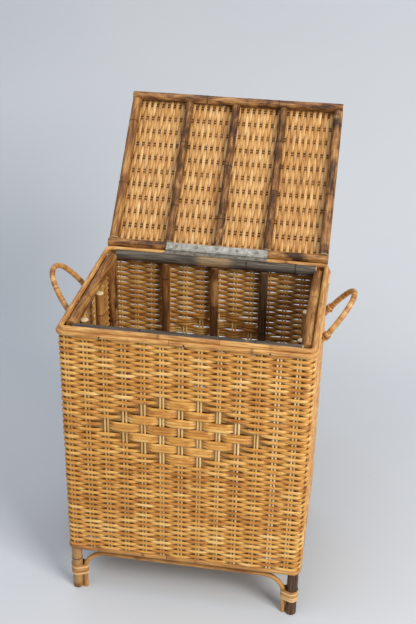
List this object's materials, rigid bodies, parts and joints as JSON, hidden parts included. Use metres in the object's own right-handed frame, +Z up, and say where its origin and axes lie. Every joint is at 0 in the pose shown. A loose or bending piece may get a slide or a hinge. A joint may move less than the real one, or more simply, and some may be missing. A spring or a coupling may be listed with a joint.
{
  "type": "laundry hamper",
  "caption": "Rectangular rattan laundry hamper on short legs, with a pole-framed woven lid hinged at the back and a bent-cane handle on each side.",
  "frame": {"origin": "on the floor, midway between the four feet", "axes": "+Z up, +X the hamper's right, +Y its back where the lid is hinged"},
  "size_m": [0.557, 0.6124, 0.8227],
  "materials": {
    "zinc_hinge": "galvanised",
    "steel_fastener": "dull",
    "woven_rattan": "natural",
    "rattan_cane": "satin",
    "cane_binding": "satin",
    "dark_pole": "matte",
    "mottled_pole": "satin",
    "rattan_pole": "satin"
  },
  "bodies": {
    "basket": {"base_cane": "rattan_cane", "base_panel": "woven_rattan", "base_rail_back": "rattan_pole", "base_rail_front": "rattan_pole", "base_rail_left": "rattan_pole", "base_rail_right": "rattan_pole", "base_slats": "rattan_pole", "brace_back": "rattan_cane", "brace_front": "rattan_cane", "corner_post_back_left": "rattan_pole", "corner_post_back_right": "rattan_pole", "corner_post_front_left": "rattan_pole", "corner_post_front_right": "rattan_pole", "handle_core_left": "cane_binding", "handle_core_right": "cane_binding", "handle_lashing_left": "cane_binding", "handle_lashing_right": "cane_binding", "handle_wrap_left": "cane_binding", "handle_wrap_right": "cane_binding", "hinge_leaf_body": "zinc_hinge", "hinge_pin": "zinc_hinge", "hinge_screws_body": "steel_fastener", "leg_binding_back_left": "cane_binding", "leg_binding_back_right": "cane_binding", "leg_binding_front_left": "cane_binding", "leg_binding_front_right": "cane_binding", "rim_cane_lower": "rattan_cane", "rim_cane_upper": "rattan_cane", "rim_nails": "steel_fastener", "top_rail_back": "dark_pole", "top_rail_front": "dark_pole", "top_rail_left": "dark_pole", "top_rail_right": "dark_pole", "wall_post_back_1": "rattan_pole", "wall_post_back_2": "rattan_pole", "wall_post_back_3": "rattan_pole", "wall_post_front_1": "rattan_pole", "wall_post_front_2": "rattan_pole", "wall_post_front_3": "rattan_pole", "wall_post_left_1": "rattan_pole", "wall_post_left_2": "rattan_pole", "wall_post_right_1": "rattan_pole", "wall_post_right_2": "rattan_pole", "weave_back": "woven_rattan", "weave_front": "woven_rattan", "weave_left": "woven_rattan", "weave_right": "woven_rattan"},
    "lid": {"hinge_leaf_lid": "zinc_hinge", "hinge_screws_lid": "steel_fastener", "lid_edge_cane": "rattan_cane", "lid_front_pole": "mottled_pole", "lid_left_pole": "mottled_pole", "lid_panel": "woven_rattan", "lid_rear_pole": "mottled_pole", "lid_rib_1": "mottled_pole", "lid_rib_2": "mottled_pole", "lid_rib_3": "mottled_pole", "lid_right_pole": "mottled_pole"}
  },
  "joints": [
    {"name": "lid_hinge", "type": "hinge", "parent": "basket", "child": "lid", "pos_m": [0, 0.1685, 0.583], "axis": [1, 0, 0], "range_deg": [0, 136]}
  ]
}
